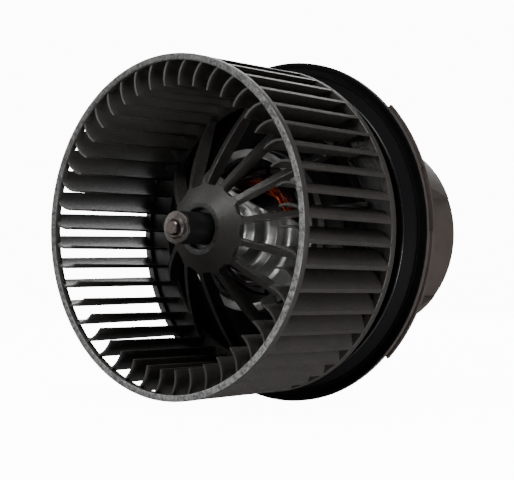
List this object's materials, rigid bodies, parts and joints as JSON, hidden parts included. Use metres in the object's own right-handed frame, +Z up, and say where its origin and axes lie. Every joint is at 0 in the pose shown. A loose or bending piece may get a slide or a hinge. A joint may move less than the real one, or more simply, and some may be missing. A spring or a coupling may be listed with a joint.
{
  "type": "car cabin blower motor",
  "caption": "Squirrel-cage fan wheel on the shaft of a direct-current motor, held in a moulded holder with a round sealed flange and a rear cup.",
  "frame": {"origin": "on the shaft's axis, in the front face of the flange plate", "axes": "-Y along the shaft towards the wheel's open end, +Z up as pictured, +X to the right seen from the open end"},
  "size_m": [0.1593, 0.163, 0.1582],
  "materials": {
    "wheel_plastic": "moulded, glass-filled",
    "sleeve_plastic": "smooth moulded",
    "cap_steel": "stamped, dull",
    "shaft_steel": "ground, turned end",
    "washer_plastic": "punched",
    "core_steel": "stacked sheet",
    "copper": "enamelled wire",
    "commutator_copper": "turned",
    "sintered_bronze": "sintered, oiled",
    "spring_steel": "bright",
    "plated_steel": "stamped, zinc plated",
    "can_steel": "drawn, zinc plated",
    "ferrite": "sintered, dull",
    "card_board": "pressed sheet",
    "box_brass": "folded sheet",
    "carbon": "pressed carbon",
    "tinned_brass": "tinned",
    "holder_plastic": "moulded, satin",
    "seal_rubber": "smooth, semi-gloss",
    "isolator_rubber": "moulded"
  },
  "bodies": {
    "housing": {"front_bearing": "sintered_bronze", "rear_bearing": "sintered_bronze", "front_bearing_clip": "spring_steel", "rear_bearing_clip": "spring_steel", "front_end_plate": "plated_steel", "motor_can": "can_steel", "field_magnet_upper": "ferrite", "field_magnet_lower": "ferrite", "magnet_springs": "spring_steel", "brush_card": "card_board", "brush_box_upper": "box_brass", "brush_box_lower": "box_brass", "brush_spring_upper": "spring_steel", "brush_spring_lower": "spring_steel", "suppression_chokes": "copper", "connector_terminals": "tinned_brass", "motor_holder": "holder_plastic", "flange_seal": "seal_rubber", "isolator_front": "isolator_rubber", "isolator_rear": "isolator_rubber"},
    "rotor": {"fan_wheel": "wheel_plastic", "hub_sleeve": "sleeve_plastic", "retaining_cap": "cap_steel", "motor_shaft": "shaft_steel", "thrust_washers": "washer_plastic", "armature_core": "core_steel", "armature_windings": "copper", "commutator": "commutator_copper"},
    "brush_upper_body": {"brush_upper": "carbon"},
    "brush_lower_body": {"brush_lower": "carbon"}
  },
  "joints": [
    {"name": "wheel_spin", "type": "hinge", "parent": "housing", "child": "rotor", "pos_m": [0, 0, 0], "axis": [0, 1, 0], "continuous": true},
    {"name": "brush_upper_slide", "type": "slide", "parent": "housing", "child": "brush_upper_body", "axis": [0, 0, 1], "range_m": [0, 0.003], "stiffness_N_per_m": 250, "springref_m": -0.008, "deforming": ["brush_spring_upper"]},
    {"name": "brush_lower_slide", "type": "slide", "parent": "housing", "child": "brush_lower_body", "axis": [0, 0, -1], "range_m": [0, 0.003], "stiffness_N_per_m": 250, "springref_m": -0.008, "deforming": ["brush_spring_lower"]}
  ]
}
